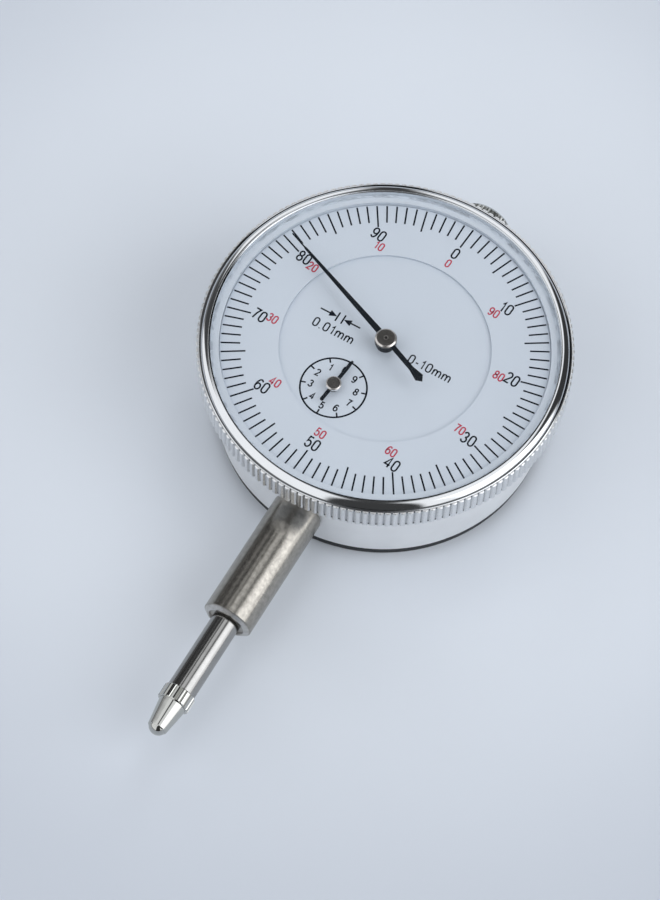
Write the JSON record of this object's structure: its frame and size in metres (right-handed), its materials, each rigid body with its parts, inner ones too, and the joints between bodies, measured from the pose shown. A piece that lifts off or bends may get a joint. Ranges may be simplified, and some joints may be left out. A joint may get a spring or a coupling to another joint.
{
  "type": "dial indicator",
  "caption": "Plunger dial indicator with a turning knurled bezel, domed crystal, main and small hands, clamping stem, lift knob and ball-tipped contact point.",
  "frame": {"origin": "centre of the flat back, on the dial's axis", "axes": "+Z out of the dial along its axis, -Y along the stem towards the contact point, +Y towards the lift knob"},
  "size_m": [0.0578, 0.1025, 0.0246],
  "materials": {
    "satin_aluminium": "satin",
    "black_back": "semi-gloss",
    "bezel_metal": "polished lip, satin knurl",
    "stem_steel": "ground",
    "plunger_steel": "ground",
    "chrome": "polished",
    "hard_ball": "polished",
    "screw_steel": "plain",
    "movement_brass": "satin",
    "bush_bronze": "satin",
    "arbor_steel": "polished",
    "spring_steel": "blued",
    "dial_face": "matt",
    "hand_black": "semi-gloss",
    "hub_steel": "turned",
    "crystal_clear": "clear",
    "seal_rubber": "matt"
  },
  "bodies": {
    "case": {"case": "satin_aluminium", "back_cover": "black_back", "back_cover_screws": "screw_steel", "stem": "stem_steel", "stem_bush": "arbor_steel", "upper_bush": "bush_bronze", "bezel_snap_ring": "spring_steel", "lower_plate": "movement_brass", "upper_plate": "movement_brass", "movement_screws": "screw_steel", "plate_pillars": "movement_brass", "upper_plate_screws": "screw_steel", "pillar_base_screws": "screw_steel", "rear_bridge": "movement_brass", "bridge_pillars": "movement_brass", "bridge_screws": "screw_steel", "bridge_bush": "bush_bronze", "first_arbor_lower_bush": "bush_bronze", "pivot_bushes": "bush_bronze", "shaft_bushes": "bush_bronze", "hair_arbor_upper_bush": "bush_bronze", "guide_rail": "arbor_steel", "guide_rail_screws": "screw_steel", "spring_anchor": "arbor_steel", "measuring_spring": "spring_steel", "hairspring": "spring_steel", "hairspring_stud": "movement_brass", "dial_centre_disc": "dial_face", "dial_posts": "movement_brass"},
    "bezel": {"bezel": "bezel_metal", "crystal": "crystal_clear", "crystal_seal": "seal_rubber", "dial_scale_ring": "dial_face"},
    "plunger": {"plunger": "plunger_steel", "guide_pin": "arbor_steel", "contact_point": "chrome", "contact_ball": "hard_ball", "lift_knob": "chrome"},
    "first_arbor": {"rack_pinion": "arbor_steel", "first_wheel": "movement_brass", "small_pointer": "hand_black", "small_pointer_hub": "hub_steel"},
    "centre_arbor": {"centre_pinion": "arbor_steel", "pointer_drum": "hand_black", "pointer": "hand_black", "pointer_hub": "hub_steel"},
    "hair_arbor": {"hairspring_arbor": "arbor_steel", "hairspring_wheel": "movement_brass", "hairspring_collet": "movement_brass"}
  },
  "joints": [
    {"name": "plunger_slide", "type": "slide", "parent": "case", "child": "plunger", "axis": [0, 1, 0], "range_m": [0, 0.01], "stiffness_N_per_m": 70, "springref_m": -0.01, "deforming": ["measuring_spring"]},
    {"name": "first_arbor_turn", "type": "hinge", "parent": "case", "child": "first_arbor", "pos_m": [-0.0034, -0.00993, 0.019], "axis": [0, 0, 1], "range_deg": [-0.5, 360.5]},
    {"name": "centre_arbor_turn", "type": "hinge", "parent": "case", "child": "centre_arbor", "pos_m": [0, 0, 0.019], "axis": [0, 0, 1], "range_deg": [-3600.5, 0.5]},
    {"name": "hair_arbor_turn", "type": "hinge", "parent": "case", "child": "hair_arbor", "pos_m": [0.0063, 0.0084, 0.015], "axis": [0, 0, 1], "range_deg": [-0.5, 360.5], "deforming": ["hairspring"]},
    {"name": "bezel_turn", "type": "hinge", "parent": "case", "child": "bezel", "pos_m": [0, 0, 0.018], "axis": [0, 0, 1], "continuous": true}
  ],
  "couplings": [
    {"joint": "first_arbor_turn", "follows": "plunger_slide", "rad_per_m": 628.32},
    {"joint": "centre_arbor_turn", "follows": "plunger_slide", "rad_per_m": -6283.2},
    {"joint": "hair_arbor_turn", "follows": "plunger_slide", "rad_per_m": 628.32}
  ]
}
